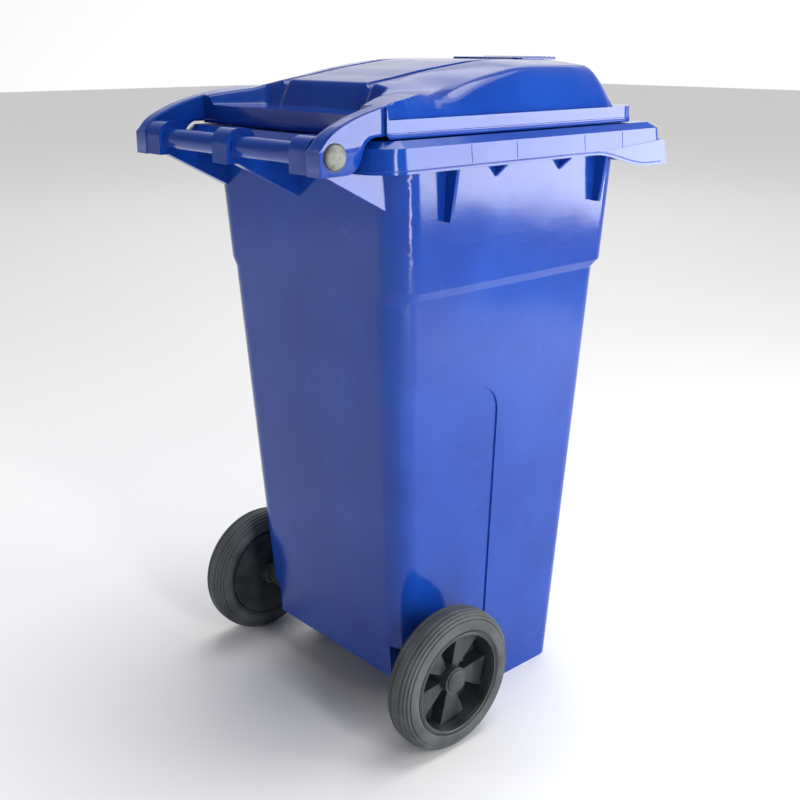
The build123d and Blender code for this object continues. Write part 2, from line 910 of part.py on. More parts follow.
    # Hinge pin, pressed through the arm into the end of the handle bar
    with BuildPart() as hinge_pin:
        shank_start = lug_outer - pin_depth + pin_end_gap
        shank_end = arm_outer + side_gap
        ball_radius = (pin_head_radius**2 + pin_head_height**2) / (2 * pin_head_height)
        ball_place = shank_end + pin_head_height - ball_radius
        ball_angle = asin(pin_head_radius / ball_radius)
        with Locations(across(side * (shank_start + shank_end) / 2, bar_height, bar_y)):
            Cylinder(pin_diameter / 2, shank_end - shank_start)
        with BuildSketch(Plane.XZ.offset(-bar_y)):
            with BuildLine():
                crown = ThreePointArc(
                    (side * shank_end, bar_height + pin_head_radius),
                    (
                        side * (ball_place + ball_radius * cos(ball_angle / 2)),
                        bar_height + ball_radius * sin(ball_angle / 2),
                    ),
                    (side * (shank_end + pin_head_height), bar_height),
                )
                Polyline(crown @ 1, (side * shank_end, bar_height), crown @ 0)
            make_face()
        revolve(axis=Axis((0, bar_y, bar_height), (1, 0, 0)))
    hinge_pin.part.label = f"hinge_pin_{name}"
    export_step(hinge_pin.part, f"parts/hinge_pin_{name}.step")
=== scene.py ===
import bpy
import bmesh
from math import atan2, cos, exp, hypot, pi, radians, sin
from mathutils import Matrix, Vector


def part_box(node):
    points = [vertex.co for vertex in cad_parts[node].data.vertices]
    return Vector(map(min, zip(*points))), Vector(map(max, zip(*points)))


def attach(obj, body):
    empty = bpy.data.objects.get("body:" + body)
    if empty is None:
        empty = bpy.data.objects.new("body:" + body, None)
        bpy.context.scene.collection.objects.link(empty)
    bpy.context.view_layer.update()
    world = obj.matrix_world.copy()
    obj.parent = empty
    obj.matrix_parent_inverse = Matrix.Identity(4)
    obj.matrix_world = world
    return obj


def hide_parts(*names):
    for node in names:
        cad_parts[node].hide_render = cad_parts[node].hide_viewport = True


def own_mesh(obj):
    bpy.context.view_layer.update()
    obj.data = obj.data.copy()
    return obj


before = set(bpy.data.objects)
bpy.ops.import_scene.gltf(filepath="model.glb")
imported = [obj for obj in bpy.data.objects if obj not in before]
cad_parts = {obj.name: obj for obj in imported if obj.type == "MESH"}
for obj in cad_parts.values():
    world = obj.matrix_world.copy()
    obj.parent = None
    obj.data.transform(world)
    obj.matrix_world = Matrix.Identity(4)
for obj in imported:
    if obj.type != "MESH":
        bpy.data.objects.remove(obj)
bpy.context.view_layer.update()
print("frame loaded")


def clearSelection():
    if bpy.context.object and bpy.context.object.mode != "OBJECT":
        bpy.ops.object.mode_set(mode="OBJECT")
    bpy.ops.object.select_all(action="DESELECT")


def pick(piece):
    clearSelection()
    piece.select_set(True)
    bpy.context.view_layer.objects.active = piece


def editAll(piece):
    pick(piece)
    bpy.ops.object.mode_set(mode="EDIT")
    bpy.ops.mesh.select_all(action="SELECT")


def applyModifiers(piece):
    pick(piece)
    for modifier in list(piece.modifiers):
        bpy.ops.object.modifier_apply(modifier=modifier.name)


def closeUp(piece, threshold=0.00001):
    # merges what lies on the same spot and turns every face outwards
    editAll(piece)
    bpy.ops.mesh.remove_doubles(threshold=threshold)
    bpy.ops.mesh.normals_make_consistent(inside=False)
    bpy.ops.object.mode_set(mode="OBJECT")


def meshPiece(name, points, edges=(), faces=()):
    mesh = bpy.data.meshes.new(name)
    mesh.from_pydata(points, edges, faces)
    piece = bpy.data.objects.new(name, mesh)
    bpy.context.scene.collection.objects.link(piece)
    return piece


def softenEdges(piece, width, segments=3, limit=28, smooth=40):
    pick(piece)
    bevel = piece.modifiers.new("softEdge", "BEVEL")
    bevel.width = width
    bevel.segments = segments
    bevel.limit_method = "ANGLE"
    bevel.angle_limit = radians(limit)
    bevel.miter_outer = "MITER_ARC"
    bevel.use_clamp_overlap = True
    weighted = piece.modifiers.new("flatFaces", "WEIGHTED_NORMAL")
    weighted.mode = "FACE_AREA"
    weighted.weight = 60
    weighted.keep_sharp = True
    bpy.ops.object.shade_smooth_by_angle(angle=radians(smooth))
    applyModifiers(piece)


def finish(piece, material, body, replaced=()):
    pick(piece)
    bpy.ops.object.transform_apply(location=True, rotation=True, scale=True)
    piece.data.materials.clear()
    piece.data.materials.append(material)
    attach(piece, body)
    if replaced:
        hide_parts(*replaced)
    return piece


def copyOfNode(nodeName, name):
    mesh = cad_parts[nodeName].data.copy()
    mesh.name = name
    piece = bpy.data.objects.new(name, mesh)
    bpy.context.scene.collection.objects.link(piece)
    editAll(piece)
    bpy.ops.mesh.remove_doubles(threshold=0.00001)
    bpy.ops.mesh.dissolve_limited(angle_limit=radians(0.6))
    bpy.ops.mesh.normals_make_consistent(inside=False)
    bpy.ops.object.mode_set(mode="OBJECT")
    return piece


def turned(name, profile, centre, steps=96):
    # a closed outline of (place along X, radius) turned about an axis across the bin
    points = [(centre.x + along, centre.y, centre.z + radius) for along, radius in profile]
    edges = [(i, (i + 1) % len(points)) for i in range(len(points))]
    piece = meshPiece(name, points, edges)
    editAll(piece)
    bpy.ops.mesh.spin(steps=steps, angle=2 * pi, center=centre, axis=(1, 0, 0))
    bpy.ops.object.mode_set(mode="OBJECT")
    closeUp(piece)
    return piece


def newMaterial(name, color, roughness, metallic=0.0):
    material = bpy.data.materials.new(name)
    material.use_nodes = True
    shader = material.node_tree.nodes["Principled BSDF"]
    shader.inputs["Base Color"].default_value = (*color, 1)
    shader.inputs["Roughness"].default_value = roughness
    shader.inputs["Metallic"].default_value = metallic
    material.diffuse_color = (*color, 1)
    return material


def addNode(material, kind, **values):
    node = material.node_tree.nodes.new(kind)
    for key, value in values.items():
        if key in node.inputs:
            node.inputs[key].default_value = value
        else:
            setattr(node, key, value)
    return node


def join(material, source, target):
    material.node_tree.links.new(source, target)


def objectPlace(material, scale=(1, 1, 1)):
    place = addNode(material, "ShaderNodeTexCoord")
    mapping = addNode(material, "ShaderNodeMapping")
    mapping.inputs["Scale"].default_value = scale
    join(material, place.outputs["Object"], mapping.inputs["Vector"])
    return mapping.outputs["Vector"]


def noise(material, scale, detail=4.0, stretch=(1, 1, 1), distortion=0.0):
    texture = addNode(material, "ShaderNodeTexNoise", Scale=scale, Detail=detail, Distortion=distortion)
    join(material, objectPlace(material, stretch), texture.inputs["Vector"])
    return texture.outputs["Fac"]


def mapped(material, source, low, high, fromLow=0.3, fromHigh=0.7):
    node = addNode(material, "ShaderNodeMapRange")
    node.inputs["From Min"].default_value = fromLow
    node.inputs["From Max"].default_value = fromHigh
    node.inputs["To Min"].default_value = low
    node.inputs["To Max"].default_value = high
    join(material, source, node.inputs["Value"])
    return node.outputs["Result"]


def mixed(material, factor, first, second):
    node = addNode(material, "ShaderNodeMix", data_type="RGBA")
    colors = [socket for socket in node.inputs if socket.type == "RGBA"]
    for socket, value in zip(colors, (first, second)):
        if isinstance(value, tuple):
            socket.default_value = (*value, 1)
        else:
            join(material, value, socket)
    join(material, factor, node.inputs["Factor"])
    return [socket for socket in node.outputs if socket.type == "RGBA"][0]


def bumped(material, layers):
    shader = material.node_tree.nodes["Principled BSDF"]
    normal = None
    for source, distance, strength in layers:
        bump = addNode(material, "ShaderNodeBump", Distance=distance, Strength=strength)
        join(material, source, bump.inputs["Height"])
        if normal:
            join(material, normal, bump.inputs["Normal"])
        normal = bump.outputs["Normal"]
    join(material, normal, shader.inputs["Normal"])


def bluePlasticMaterial():
    look = {
        "deep": (0.004, 0.040, 0.30),
        "worn": (0.008, 0.062, 0.39),
        "scuffed": (0.025, 0.10, 0.45),
        "roughLow": 0.09,
        "roughHigh": 0.18,
    }
    material = newMaterial("bluePlastic", look["deep"], 0.2)
    shader = material.node_tree.nodes["Principled BSDF"]
    shader.inputs["IOR"].default_value = 1.52
    shader.inputs["Specular IOR Level"].default_value = 0.36
    clouds = noise(material, 7, 3)
    scratches = noise(material, 60, 5, stretch=(1, 1, 9), distortion=0.6)
    scuffs = noise(material, 23, 6, distortion=1.2)
    tint = mixed(material, mapped(material, clouds, 0, 1), look["deep"], look["worn"])
    scuffed = mixed(material, mapped(material, scuffs, 0, 0.35, 0.62, 0.8), tint, look["scuffed"])
    join(material, scuffed, shader.inputs["Base Color"])
    rough = mapped(material, scratches, look["roughLow"], look["roughHigh"], 0.35, 0.75)
    join(material, rough, shader.inputs["Roughness"])
    waves = noise(material, 9, 1)
    peel = noise(material, 420, 2)
    bumped(material, [(waves, 0.004, 0.35), (peel, 0.0002, 0.12), (scratches, 0.0003, 0.06)])
    return material


def wheelPlasticMaterial():
    material = newMaterial("wheelPlastic", (0.02, 0.022, 0.024), 0.4)
    shader = material.node_tree.nodes["Principled BSDF"]
    dust = noise(material, 40, 6, distortion=0.5)
    color = mixed(material, mapped(material, dust, 0, 0.7), (0.016, 0.019, 0.022), (0.06, 0.068, 0.074))
    join(material, color, shader.inputs["Base Color"])
    join(material, mapped(material, dust, 0.3, 0.5), shader.inputs["Roughness"])
    bumped(material, [(noise(material, 500, 2), 0.0002, 0.2)])
    return material


def tyreRubberMaterial():
    material = newMaterial("tyreRubber", (0.05, 0.053, 0.056), 0.75)
    shader = material.node_tree.nodes["Principled BSDF"]
    dust = noise(material, 28, 7, distortion=0.4)
    color = mixed(material, mapped(material, dust, 0, 1), (0.04, 0.045, 0.050), (0.10, 0.11, 0.118))
    join(material, color, shader.inputs["Base Color"])
    join(material, mapped(material, dust, 0.55, 0.8), shader.inputs["Roughness"])
    bumped(material, [(noise(material, 160, 5), 0.0005, 0.3)])
    return material


def pinPlasticMaterial():
    material = newMaterial("pinPlastic", (0.2, 0.22, 0.19), 0.5)
    shader = material.node_tree.nodes["Principled BSDF"]
    grime = noise(material, 120, 6, distortion=0.8)
    color = mixed(material, mapped(material, grime, 0, 1), (0.13, 0.14, 0.12), (0.3, 0.32, 0.28))
    join(material, color, shader.inputs["Base Color"])
    join(material, mapped(material, grime, 0.4, 0.6), shader.inputs["Roughness"])
    bumped(material, [(grime, 0.0004, 0.25)])
    return material


def steelMaterial():
    material = newMaterial("zincSteel", (0.5, 0.51, 0.52), 0.3, 1.0)
    shader = material.node_tree.nodes["Principled BSDF"]
    grain = noise(material, 90, 5, stretch=(8, 1, 1))
    color = mixed(material, mapped(material, grain, 0, 1), (0.38, 0.39, 0.4), (0.6, 0.61, 0.62))
    join(material, color, shader.inputs["Base Color"])
    join(material, mapped(material, grain, 0.22, 0.42), shader.inputs["Roughness"])
    bumped(material, [(grain, 0.0001, 0.2)])
    return material


bluePlastic = bluePlasticMaterial()
wheelPlastic = wheelPlasticMaterial()
tyreRubber = tyreRubberMaterial()
pinPlastic = pinPlasticMaterial()
zincSteel = steelMaterial()
print("materials made")

bodyLook = {"softEdge": 0.0011, "segments": 3}
bodyShell = copyOfNode("body", "bodyShell")
softenEdges(bodyShell, bodyLook["softEdge"], bodyLook["segments"])
finish(bodyShell, bluePlastic, "bin", ["body"])
print("body done")

lidLook = {
    "step": 0.0026,  # spacing of the surface
    "wall": 0.0034,
    "dome": {"half": 0.199, "front": -0.226, "rear": 0.26, "corner": 0.044},
    "plan": {"half": 0.204, "front": -0.257, "rear": 0.2125, "corner": 0.038},
    "armInner": 0.1745,
    "armOuter": 0.199,
    "armEnd": 0.3045,
    "ledge": 0.843,
    "scoopLedge": 0.845,
    "channelPlace": 0.086,
    "channelDepth": 0.0065,
    "channelEdges": (0.0785, 0.0935),
    "scoopLines": (0.138, 0.153),  # where the hollow's leaning panel starts and ends
    "skirt": ((0.8405, 0.0), (0.8285, 0.0004), (0.828, 0.0012), (0.822, 0.0)),  # level, outset
    "armStart": 0.83,  # the level from which the arms follow their own lower line
}
middleCrest = [
    (-0.26, 0.9015), (-0.2, 0.9035), (-0.085, 0.905), (-0.039, 0.904), (0.051, 0.893),
    (0.138, 0.878), (0.3, 0.85),
]
sideDrop = [
    (-0.26, 0.012), (-0.154, 0.008), (-0.058, 0.0075), (0.015, 0.010), (0.052, 0.013),
    (0.084, 0.017), (0.111, 0.023), (0.137, 0.032), (0.2, 0.05),
]
armCrest = [
    (0.06, 0.8835), (0.1, 0.8765), (0.1315, 0.871), (0.183, 0.864), (0.206, 0.860), (0.235, 0.853),
    (0.254, 0.847), (0.278, 0.837), (0.292, 0.829), (0.2996, 0.821), (0.3045, 0.812),
]
armEdge = [
    (0.05, 0.158), (0.1, 0.168), (0.15, 0.186), (0.19, 0.197), (0.21, 0.1995), (0.31, 0.1995),
]
armBase = [
    (0.2125, 0.8255), (0.224, 0.8253), (0.232, 0.8234), (0.24, 0.818), (0.245, 0.8075),
    (0.248, 0.798), (0.252, 0.7925), (0.26, 0.787), (0.269, 0.7855), (0.305, 0.7853),
]


def along(line, place):
    # value at a place along a listed line, straight between its points
    if place <= line[0][0]:
        return line[0][1]
    for (a, low), (b, high) in zip(line, line[1:]):
        if place <= b:
            share = (place - a) / (b - a)
            return low + (high - low) * share
    return line[-1][1]


def smoothAlong(line, place, reach=0.012):
    return sum(along(line, place + reach * k / 2) for k in (-2, -1, 0, 1, 2)) / 5


def softMin(a, b, blend):
    gap = max(blend - abs(a - b), 0) / blend
    return min(a, b) - gap * gap * blend / 4


def softMax(a, b, blend):
    return -softMin(-a, -b, blend)


def ramp(value, low, high):
    share = min(max((value - low) / (high - low), 0), 1)
    return share * share * (3 - 2 * share)


def insideRounded(x, y, half, front, rear, corner):
    # how far a place is inside a rounded rectangle, negative outside
    dx = abs(x) - (half - corner)
    middle = (front + rear) / 2
    dy = abs(y - middle) - ((rear - front) / 2 - corner)
    return corner - hypot(max(dx, 0), max(dy, 0)) - min(max(dx, dy), 0)


def lidHeight(x, y):
    look = lidLook
    side = abs(x)
    ledge = look["ledge"]
    if y > look["plan"]["rear"] - 0.0001 and side > look["armInner"] - 0.0001:
        fromEdge = min(side - look["armInner"], look["armOuter"] - side)
        return smoothAlong(armCrest, y, 0.006) - 0.0015 * (1 - ramp(fromEdge, 0, 0.0035))
    depth = insideRounded(x, y, **look["dome"])
    crown = smoothAlong(middleCrest, y) - smoothAlong(sideDrop, y) * ramp(side, 0.08, 0.24) * 1.5
    frontness = ramp(-y, 0.14, 0.25)
    slope = 2.5 - 0.85 * frontness
    wallRise = ledge + depth * slope + 0.004
    height = softMin(crown, wallRise, 0.042)
    # arms rise out of the crown towards the hinge
    edge = smoothAlong(armEdge, y)
    fall = max(side - edge, 0)
    armTop = smoothAlong(armCrest, y) - fall * (0.9 + 2.4 * ramp(y, 0.11, 0.2))
    armTop -= 0.03 * ramp(0.09 - y, -0.06, 0.06)
    height = softMax(height, armTop, 0.024 - 0.018 * ramp(y, 0.1, 0.19))
    # hollow between the arms
    panel = 0.845 + (0.153 - y) * 2.2
    flankLine = 0.096 + (y - 0.138) * 0.72
    flank = look["scoopLedge"] + max(side - flankLine, 0) * 1.15
    hollow = softMax(softMax(look["scoopLedge"], panel, 0.003), flank, 0.004)
    height = softMin(height, hollow, 0.004)
    # grooves along the top
    offset = abs(side - look["channelPlace"])
    groove = 1 - ramp(offset, 0.0035, 0.0085)
    height -= look["channelDepth"] * groove * ramp(y, -0.12, -0.06) * (1 - ramp(y, 0.13, 0.16))
    height = softMin(height, ledge + max(depth, 0) * 6, 0.003)
    return max(height, ledge)


def snapped(x, y):
    # nearest place on the plan of the lid: a rounded front, and two arms at the rear
    look = lidLook
    plan = look["plan"]
    side = 1 if x >= 0 else -1
    across = abs(x)
    if y > plan["rear"]:
        inner, outer = look["armInner"], look["armOuter"]
        if across < inner - 0.006 or across > outer:
            if y < plan["rear"] + look["step"] and across < inner:
                return x, plan["rear"]
        across = min(max(across, inner), outer)
        return side * across, min(y, look["armEnd"])
    inside = insideRounded(x, y, plan["half"], plan["front"], plan["rear"] + 0.1, plan["corner"])
    if inside >= 0:
        return x, y
    pushed = Vector((across - plan["half"] + plan["corner"], plan["front"] + plan["corner"] - y))
    if pushed.x > 0 and pushed.y > 0:
        pushed = pushed.normalized() * plan["corner"]
        across = plan["half"] - plan["corner"] + pushed.x
        return side * across, plan["front"] + plan["corner"] - pushed.y
    return side * min(across, plan["half"]), max(y, plan["front"])


def stations(start, end, step, wanted=()):
    # even spacing, with the wanted places kept exactly
    marks = sorted({start, end, *wanted})
    places = []
    for a, b in zip(marks, marks[1:]):
        count = max(1, round((b - a) / step))
        places += [a + (b - a) * i / count for i in range(count)]
    return places + [end]


def makeLid():
    look = lidLook
    plan = look["plan"]
    wanted = (look["armInner"], look["armOuter"], *look["channelEdges"])
    half = stations(0, plan["half"], look["step"], wanted)
    xs = [-x for x in reversed(half[1:])] + half
    ys = stations(plan["front"], look["armEnd"], look["step"], (plan["rear"], *look["scoopLines"]))
    index = {}
    points = []

    def inPlan(x, y):
        if y > plan["rear"] + 0.00001:
            return look["armInner"] - 0.00001 <= abs(x) <= look["armOuter"] + 0.00001
        rear = plan["rear"] + 0.1
        inside = insideRounded(x, y, plan["half"], plan["front"], rear, plan["corner"])
        return inside > -0.0000001

    faces = []
    for j in range(len(ys) - 1):
        for i in range(len(xs) - 1):
            corners = [(i, j), (i + 1, j), (i + 1, j + 1), (i, j + 1)]
            middleX = (xs[i] + xs[i + 1]) / 2
            middleY = (ys[j] + ys[j + 1]) / 2
            if not inPlan(middleX, middleY):
                continue
            face = []
            for a, b in corners:
                if (a, b) not in index:
                    x, y = xs[a], ys[b]
                    if not inPlan(x, y):
                        x, y = snapped(x, y)
                    index[(a, b)] = len(points)
                    points.append((x, y, lidHeight(x, y)))
                face.append(index[(a, b)])
            faces.append(face)
    lid = meshPiece("lidShell", points, (), faces)
    mesh = bmesh.new()
    mesh.from_mesh(lid.data)
    bmesh.ops.remove_doubles(mesh, verts=mesh.verts, dist=0.00005)

    def dropTo(edges, level, outset):
        # carries the open edge straight down to a level and a little outwards
        made = bmesh.ops.extrude_edge_only(mesh, edges=edges)
        newEdges = [e for e in made["geom"] if isinstance(e, bmesh.types.BMEdge)]
        newPoints = [v for v in made["geom"] if isinstance(v, bmesh.types.BMVert)]
        for point in newPoints:
            atRear = point.co.y > plan["rear"] - 0.0001
            onArm = atRear and abs(point.co.x) > look["armInner"] - 0.0001
            target = level
            if onArm and level < look["armStart"]:
                share = min(1, (look["armStart"] - level) / armFade)
                target = look["armStart"] + (along(armBase, point.co.y) - look["armStart"]) * share
            point.co.z = min(point.co.z - 0.0001, target)
            if outset and not onArm:
                dx = abs(point.co.x) - (plan["half"] - plan["corner"])
                dy = plan["front"] + plan["corner"] - point.co.y
                push = Vector((max(dx, 0), max(dy, 0)))
                if dx > 0 and dy <= 0:
                    push = Vector((1, 0))
                elif dy > 0 and dx <= 0:
                    push = Vector((0, 1))
                if push.length > 0:
                    push.normalize()
                point.co.x += (1 if point.co.x > 0 else -1) * push.x * outset
                point.co.y -= push.y * outset
                if atRear and abs(point.co.x) < look["armInner"]:
                    point.co.y += outset
        return newEdges

    armFade = look["armStart"] - look["skirt"][-1][0]
    lowest = [e for e in mesh.edges if len(e.link_faces) == 1]
    for level, outset in look["skirt"]:
        lowest = dropTo(lowest, level, outset)
    bmesh.ops.recalc_face_normals(mesh, faces=mesh.faces)
    top = max(mesh.faces, key=lambda f: f.calc_center_median().z)
    if top.normal.z < 0:
        bmesh.ops.reverse_faces(mesh, faces=mesh.faces)
    mesh.to_mesh(lid.data)
    mesh.free()
    pick(lid)
    wall = lid.modifiers.new("wall", "SOLIDIFY")
    wall.thickness = look["wall"]
    wall.offset = -1
    wall.use_even_offset = False
    bpy.ops.object.shade_smooth_by_angle(angle=radians(40))
    applyModifiers(lid)
    return lid


lidShell = makeLid()
finish(lidShell, bluePlastic, "lid", ["lid"])
print("lid done", len(lidShell.data.polygons))

gripLook = {
    "size": (0.136, 0.088, 0.0035),
    "place": (0, -0.196, 0.9050),
    "round": 0.012,
    "dotRows": 3,
    "dotColumns": 17,
    "dotPitch": 0.0072,
    "dotRadius": 0.0014,
    "dotFlatness": 0.45,
    "dotMargin": 0.010,
    "softEdge": 0.0009,
}


def makeGrip():
    look = gripLook
    clearSelection()
    bpy.ops.mesh.primitive_cube_add(size=1, location=look["place"])
    plate = bpy.context.object
    plate.name = "gripPlate"
    plate.scale = look["size"]
    bpy.ops.object.transform_apply(location=True, rotation=False, scale=True)
    upright = bmesh.new()
    upright.from_mesh(plate.data)
    corners = [e for e in upright.edges if abs(e.verts[0].co.z - e.verts[1].co.z) > 0.001]
    bmesh.ops.bevel(
        upright, geom=corners, offset=look["round"], segments=8, affect="EDGES", profile=0.5
    )
    upright.to_mesh(plate.data)
    upright.free()
    softenEdges(plate, look["softEdge"])
    finish(plate, bluePlastic, "lid")
    clearSelection()
    top = look["place"][2] + look["size"][2] / 2
    bpy.ops.mesh.primitive_uv_sphere_add(segments=10, ring_count=6, radius=look["dotRadius"])
    dot = bpy.context.object
    dot.scale = (1, 1, look["dotFlatness"])
    bpy.ops.object.transform_apply(location=True, rotation=True, scale=True)
    dots = []
    for row in range(look["dotRows"]):
        for column in range(look["dotColumns"]):
            copy = dot.copy()
            copy.data = dot.data.copy()
            bpy.context.scene.collection.objects.link(copy)
            sideways = (column - (look["dotColumns"] - 1) / 2) * look["dotPitch"]
            edge = look["place"][1] - look["size"][1] / 2
            forwards = edge + look["dotMargin"] + row * look["dotPitch"]
            copy.location = (sideways + (row % 2) * look["dotPitch"] / 2, forwards, top)
            dots.append(copy)
    pick(dot)
    bpy.ops.object.delete()
    for copy in dots:
        copy.select_set(True)
    bpy.context.view_layer.objects.active = dots[0]
    bpy.ops.object.join()
    dots[0].name = "gripDots"
    bpy.ops.object.shade_smooth_by_angle(angle=radians(60))
    finish(dots[0], bluePlastic, "lid")


makeGrip()
print("grip done")

pinLook = {
    "shank": 0.008,
    "head": 0.014,
    "height": 0.007,
    # outer radius of the near-black ring round the pin head, which paints the shade of the gap there
    "seat": 0.0158,
    "shadowRingBore": 0.0085,
    "gate": 0.0012,
    "edge": 0.0006,
}


def makePins():
    look = pinLook
    for sideSign, name in ((-1, "left"), (1, "right")):
        low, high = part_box(f"hinge_pin_{name}")
        centre = (low + high) / 2
        reach = (high.x - low.x) / 2
        headPlace = reach - look["height"]
        outline = [(-reach, 0.0), (-reach, look["shank"] - 0.001), (-reach + 0.001, look["shank"])]
        outline += [(headPlace, look["shank"]), (headPlace, look["head"] - 0.0008)]
        for step in range(0, 11):
            angle = radians(90 * step / 10)
            out = headPlace + look["edge"] + (look["height"] - look["edge"]) * sin(angle) ** 0.9
            outline.append((out, look["head"] * cos(angle) ** 0.75))
        outline[-1] = (reach, look["gate"])
        outline += [(reach - 0.0004, look["gate"] * 0.6), (reach - 0.0004, 0.0)]
        pin = turned(f"pin_{name}", [(sideSign * place, radius) for place, radius in outline], centre, 48)
        pick(pin)
        bpy.ops.object.shade_smooth_by_angle(angle=radians(45))
        finish(pin, pinPlastic, "bin", [f"hinge_pin_{name}"])
        # a thin near-black ring round each pin head paints the shadow of the gap between head and arm:
        # painted shade
        shadowRingPlace = headPlace - 0.0004
        seat = [
            (shadowRingPlace, look["shadowRingBore"]),
            (shadowRingPlace, look["seat"]),
            (shadowRingPlace + 0.0007, look["seat"]),
            (shadowRingPlace + 0.0007, look["seat"] - 0.0006),
            (shadowRingPlace + 0.0002, look["seat"] - 0.0012),
            (shadowRingPlace + 0.0002, look["shadowRingBore"]),
        ]
        shadowRing = turned(f"pinShadowRing_{name}", [(sideSign * place, radius) for place, radius in seat], centre, 48)
        finish(shadowRing, wheelPlastic, "lid")


makePins()
print("pins done")

beadLook = {
    "half": 0.21955,
    "front": -0.2955,
    "rear": 0.2366,
    "rearEnd": 0.148,
    "rearCorner": 0.0455,
    "height": 0.7868,
    "fall": 0.0215,
    "proud": 0.0008,
    "tall": 0.0017,
    "frontGap": 0.004,
    "buried": 0.001,
    "outline": ((0, -0.5), (0.55, -0.5), (1, -0.2), (1, 0.2), (0.55, 0.5), (0, 0.5)),
    "marks": (0.090, 0.010, -0.122, -0.202),
    "markSize": (0.0012, 0.0016, 0.021),
    "markSide": 0.2181,
    "markHeight": 0.7995,
    "markLean": atan2(-0.003, 0.029),  # the draft of the rim
}


def beadPath(sideSign):
    look = beadLook
    corner = look["rearCorner"]
    path = [(look["rearEnd"], look["rear"], 0, 1)]
    for step in range(0, 13):
        angle = radians(90 - 90 * step / 12)
        x = look["half"] - corner + corner * cos(angle)
        y = look["rear"] - corner + corner * sin(angle)
        path.append((x, y, cos(angle), sin(angle)))
    start = look["rear"] - corner
    end = look["front"] + look["frontGap"]
    for step in range(1, 61):
        path.append((look["half"], start + (end - start) * step / 60, 1, 0))
    return [(sideSign * x, y, sideSign * nx, ny) for x, y, nx, ny in path]


def makeBead():
    look = beadLook
    for sideSign, name in ((-1, "left"), (1, "right")):
        points = []
        faces = []
        path = beadPath(sideSign)
        for x, y, nx, ny in path:
            z = look["height"] - look["fall"] * ramp(-y, 0.14, 0.262)
            for out, up in look["outline"]:
                shift = look["proud"] * out if out > 0 else -look["buried"]
                points.append((x + nx * shift, y + ny * shift, z + look["tall"] * up))
        count = len(look["outline"])
        for i in range(len(path) - 1):
            for k in range(count):
                a, b = i * count + k, i * count + (k + 1) % count
                faces.append((a, b, b + count, a + count))
        faces.append(tuple(range(count)))
        faces.append(tuple(range(len(points) - count, len(points))))
        bead = meshPiece(f"rimBead_{name}", points, (), faces)
        closeUp(bead)
        pick(bead)
        bpy.ops.object.shade_smooth_by_angle(angle=radians(60))
        finish(bead, bluePlastic, "bin")
        # faint upright joint marks on the side of the rim
        for number, y in enumerate(look["marks"]):
            clearSelection()
            place = (sideSign * look["markSide"], y, look["markHeight"])
            bpy.ops.mesh.primitive_cube_add(size=1, location=place)
            mark = bpy.context.object
            mark.name = f"rimMark_{name}_{number}"
            mark.scale = look["markSize"]
            mark.rotation_euler = (0, sideSign * look["markLean"], 0)
            bpy.ops.object.transform_apply(location=True, rotation=True, scale=True)
            softenEdges(mark, 0.0005, 2)
            finish(mark, bluePlastic, "bin")


makeBead()
print("rim bead done")

wheelLook = {
    "radius": 0.1,
    "width": 0.044,
    "bore": 0.0746,
    "shoulder": 0.079,  # where the side of the tyre starts to round
    "grooves": (27, 45, 63, 80),  # degrees round the shoulder
    "grooveDepth": 0.0021,
    "rimSoftEdge": 0.0011,
    "capSoftEdge": 0.0007,
    "edgeInset": 0.0012,
    "edgeRadius": 0.068,
    "rimEdge": [
        (0.0, 0.0), (0.0, 0.0018), (0.0009, 0.0026), (0.0, 0.0034), (0.0, 0.0042),
        (0.0012, 0.0050), (0.0012, 0.0058), (0.0, 0.0066), (-0.003, 0.0066), (-0.003, 0.0),
    ],
}


def tyreOutline():
    # rounded crown with fine grooves, from the outer bead round to the inner one
    look = wheelLook
    half = look["width"] / 2
    rise = look["radius"] - look["shoulder"]
    outline = []
    for degrees in range(0, 181, 2):
        angle = radians(degrees)
        fromSide = min(degrees, 180 - degrees)
        dip = sum(exp(-(((fromSide - groove) / 2.6) ** 2)) for groove in look["grooves"])
        depth = look["grooveDepth"] * min(dip, 1)
        away = (abs(cos(angle)) ** 0.6) * (1 if degrees < 90 else -1)
        out = sin(angle) ** 0.8
        outline.append((away * (half - depth * abs(cos(angle))), look["shoulder"] + out * (rise - depth)))
    outline.append((-half, look["bore"] + 0.001))
    outline.append((-half + 0.001, look["bore"]))
    outline.append((half - 0.001, look["bore"]))
    outline.append((half, look["bore"] + 0.001))
    return outline


coilLook = {
    "turns": 5,
    "steps": 20,
    "wire": 0.00048,
    "radius": 0.0038,
    "length": 0.0092,
    "seat": 0.0035,  # from the middle of the spring's box to its fixed end
    "travel": 0.0022,
    "lean": 23,  # degrees above level
}


def makeCoil(name):
    # a real coil between the latch's collar and its guide
    look = coilLook
    lean = radians(look["lean"])
    towards = Vector((0, -cos(lean), sin(lean)))
    low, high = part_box(f"latch_spring_{name}")
    guide = (low + high) / 2 + towards * look["seat"]
    clearSelection()
    bpy.ops.mesh.primitive_circle_add(
        vertices=8, radius=look["wire"], location=(look["radius"], 0, 0), rotation=(radians(90), 0, 0)
    )
    coil = bpy.context.object
    coil.name = f"coil_{name}"
    bpy.ops.object.transform_apply(location=True, rotation=True, scale=True)
    winding = coil.modifiers.new("winding", "SCREW")
    winding.angle = 2 * pi * look["turns"]
    winding.screw_offset = look["length"] - 2 * look["wire"]
    winding.steps = look["steps"] * look["turns"]
    winding.render_steps = winding.steps
    applyModifiers(coil)
    editAll(coil)
    bpy.ops.mesh.select_all(action="DESELECT")
    bpy.ops.mesh.select_non_manifold()
    bpy.ops.mesh.edge_face_add()
    bpy.ops.object.mode_set(mode="OBJECT")
    closeUp(coil, 0.000001)
    coil.rotation_euler = towards.to_track_quat("Z", "X").to_euler()
    coil.location = guide - towards * (look["length"] - look["wire"])
    pick(coil)
    bpy.ops.object.shade_smooth_by_angle(angle=radians(60))
    finish(coil, zincSteel, f"wheel_{name}", [f"latch_spring_{name}"])
    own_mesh(coil)


